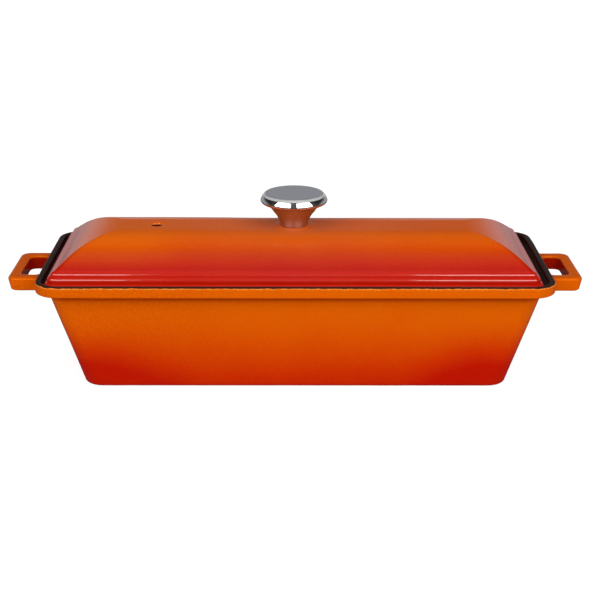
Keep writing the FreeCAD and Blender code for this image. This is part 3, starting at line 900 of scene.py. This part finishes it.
def lid_enamel():
    """Orange crown that turns red down the slopes, with painted shade on their lower part, and a red border.
    """
    shader = Shader("lid_enamel")
    fall = shader.fit(shader.z, CROWN - 0.7, DOME_FOOT + 1.6, to=(0.08, 0.93), smooth=False)
    leftward = shader.fit(shader.x, -50.0, -110.0, to=(0.0, 0.14))
    leftward = shader.product(leftward, shader.fit(shader.z, DOME_FOOT + 0.6, DOME_FOOT + 5.6))
    colour = enamel_colour(shader, shader.math("SUBTRACT", fall, leftward))
    # Painted shade: the slopes are darkened a little from below the crown down to the border.
    shade = shader.product(shader.fit(shader.z, CROWN - 2.8, CROWN - 8.3, to=(0.0, 0.14)),
                           shader.fit(shader.z, DOME_FOOT - 0.4, DOME_FOOT + 1.1))
    colour = shader.mix(shade, colour, BLACK)
    crown_middle = (0.0, 0.0, CROWN * MM)
    from_knob = shader.add("VectorMath", {0: shader.place, 1: crown_middle}, "Value", operation="DISTANCE")
    shader.set(
        Base_Color=shader.mix(lid_hollows(shader), colour, linear(26, 20, 20)),
        Roughness=shader.total(shader.fit(shader.z, CROWN - 7.3, CROWN - 1.3, to=(0.06, 0.13)),
                               shader.fit(from_knob, 0.015, 0.110, to=(0.2, 0.0))),
        Specular_IOR_Level=shader.fit(shader.z, DOME_FOOT - 0.4, DOME_FOOT + 1.1, to=(0.8, 0.5)),
        Normal=orange_peel(shader),
    )
    return shader.material


def steel(name):
    """Bare steel with a fine unevenness in its colour and its gloss."""
    colour, roughness, spread, metallic = STEELS[name]
    shader = Shader(name)
    fine = shader.noise(1500.0, detail=3.0)
    shader.set(
        Base_Color=shader.mix(shader.total(fine, 0.5), colour, [STEEL_SHADE * share for share in colour]),
        Metallic=metallic,
        Roughness=shader.math("MULTIPLY_ADD", fine, spread, roughness),
        Normal=shader.bump(shader.noise(900.0), distance=0.00001, strength=0.3),
    )
    return shader.material


def floor_white():
    """Pale to the light, white with a soft shadow to the camera, and dim near by in reflections."""
    shader = Shader("floor_white")
    lit = shader.add("BsdfDiffuse", {"Color": linear(238, 238, 238)})
    shadowed = shader.add("BsdfDiffuse", {"Color": FLOOR_SHADOW})
    away = shader.add("VectorMath", {0: shader.place}, "Value", operation="LENGTH")
    glow = shader.fit(away, GLOW_NEAR, GLOW_FAR, to=GLOW_LEVELS)
    seen = shader.add("AddShader", {0: shadowed, 1: shader.add("Emission", {"Strength": glow})})
    behind = shader.add("SeparateXYZ", {0: shader.place}, "Y")
    gleam = shader.fit(behind, MIRROR_NEAR, MIRROR_FAR, to=MIRROR_LEVELS)
    mirrored = shader.add("Emission", {"Strength": gleam})
    rays = shader.add("LightPath").node.outputs
    looked_at = shader.math("MAXIMUM", rays["Is Camera Ray"], rays["Is Transmission Ray"])
    surface = shader.add("MixShader", {0: looked_at, 1: lit, 2: seen})
    surface = shader.add("MixShader", {0: rays["Is Glossy Ray"], 1: surface, 2: mirrored})
    shader.plug(shader.tree.nodes["Material Output"].inputs["Surface"], surface)
    return shader.material


def build_floor():
    """A wide floor just under the pan."""
    bpy.ops.mesh.primitive_plane_add(size=FLOOR_SIZE, location=(0, 0, -FLOOR_DROP))
    floor = bpy.context.object
    floor.name = "floor"
    floor.data.materials.append(floor_white())


def build_world():
    """White to the camera. In reflections it is a dim room with a bright low backdrop."""
    world = bpy.data.worlds.new("studio")
    bpy.context.scene.world = world
    world.use_nodes = True
    nodes = Nodes(world.node_tree)
    direction = nodes.add("SeparateXYZ", {0: nodes.add("TexCoord", output="Generated")}).node.outputs
    upward, away = direction["Z"], direction["Y"]

    def between(low, high, to):
        """A level that changes between two angles over the horizon, in degrees."""
        return nodes.fit(upward, math.sin(math.radians(low)), math.sin(math.radians(high)), to=to)

    backdrop = nodes.product(between(3.0, 19.0, (0.45, 0.04)), nodes.fit(away, -0.1, 0.4, to=(0.15, 1.0)))
    overhead = between(70.0, 87.0, (0.0, 0.2))
    front = nodes.fit(away, 0.3, -0.7, to=(0.0, 0.14))
    mirrored = nodes.total(backdrop, overhead, front)
    ambient = nodes.fit(upward, 0.2, 0.9, to=AMBIENT_LEVELS)
    rays = nodes.add("LightPath").node.outputs
    dim = nodes.add("Mix", {"Factor": rays["Is Glossy Ray"], "A": ambient, "B": mirrored})
    strength = nodes.add("Mix", {"Factor": rays["Is Camera Ray"], "A": dim, "B": 1.0})
    background = nodes.tree.nodes["Background"].inputs
    nodes.plug(background["Strength"], strength)
    nodes.plug(background["Color"], WHITE)


def softbox(name, azimuth, width, radiance):
    """An upright rectangular lamp that faces the object."""
    lamp = bpy.data.lights.new(name, "AREA")
    lamp.shape = "RECTANGLE"
    lamp.size = width
    lamp.size_y = LAMP_HEIGHT
    lamp.energy = radiance * math.pi * width * LAMP_HEIGHT
    holder = bpy.data.objects.new(name, lamp)
    bpy.context.scene.collection.objects.link(holder)
    angle = math.radians(azimuth)
    away = Vector((math.sin(angle), -math.cos(angle), 0.0))
    holder.location = away * LAMP_DISTANCE + Vector((0, 0, LAMP_RISE))
    holder.rotation_euler = away.to_track_quat("Z", "Y").to_euler()


def build_camera():
    """The photograph's viewpoint."""
    pitch, yaw, roll = (math.radians(angle) for angle in (CAMERA_PITCH, CAMERA_YAW, CAMERA_ROLL))
    turn = Matrix.Rotation(yaw, 3, "Z")
    right = turn @ Vector((1, 0, 0))
    forward = turn @ Vector((0, math.cos(pitch), -math.sin(pitch)))
    up = turn @ Vector((0, math.sin(pitch), math.cos(pitch)))
    rolled_right = right * math.cos(roll) + up * math.sin(roll)
    rolled_up = up * math.cos(roll) - right * math.sin(roll)
    facing = Matrix((rolled_right, rolled_up, -forward)).transposed()
    data = bpy.data.cameras.new("camera")
    data.sensor_width = SENSOR
    data.lens = FOCAL_PIXELS / FRAME_SIZE * SENSOR
    data.clip_start, data.clip_end = CLIP_START, CLIP_END
    camera = bpy.data.objects.new("camera", data)
    camera.matrix_world = Matrix.Translation(Vector(CAMERA_PLACE) * MM) @ facing.to_4x4()
    bpy.context.scene.collection.objects.link(camera)
    bpy.context.scene.camera = camera


def paint_cad(name, material):
    """Give a CAD node that stays in view its material."""
    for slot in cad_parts[name].material_slots:
        slot.link = "OBJECT"
        slot.material = material


def main():
    """Build the pieces around the frame, then the studio that they are seen in."""
    pieces = (
        (build_pan(), "pan", "orange_enamel", [pan_enamel()]),
        (build_lid(), "lid", "orange_enamel", [lid_enamel()]),
        (build_knob(), "knob", "knob_steel", [steel(name) for name in KNOB_STEELS]),
    )
    for piece, node, slot, materials in pieces:
        for material in materials:
            piece.data.materials.append(material)
        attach(piece, "root")
        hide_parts(node)
    fastener = steel("fastener_steel")
    paint_cad("knob_screw", fastener)
    paint_cad("knob_washer", fastener)
    build_floor()
    build_world()
    softbox("softbox_left", azimuth=-41.0, width=1.14, radiance=4.25)
    softbox("softbox_right", azimuth=38.0, width=1.12, radiance=5.1)
    build_camera()
    bpy.context.scene.view_settings.view_transform = "Standard"


main()
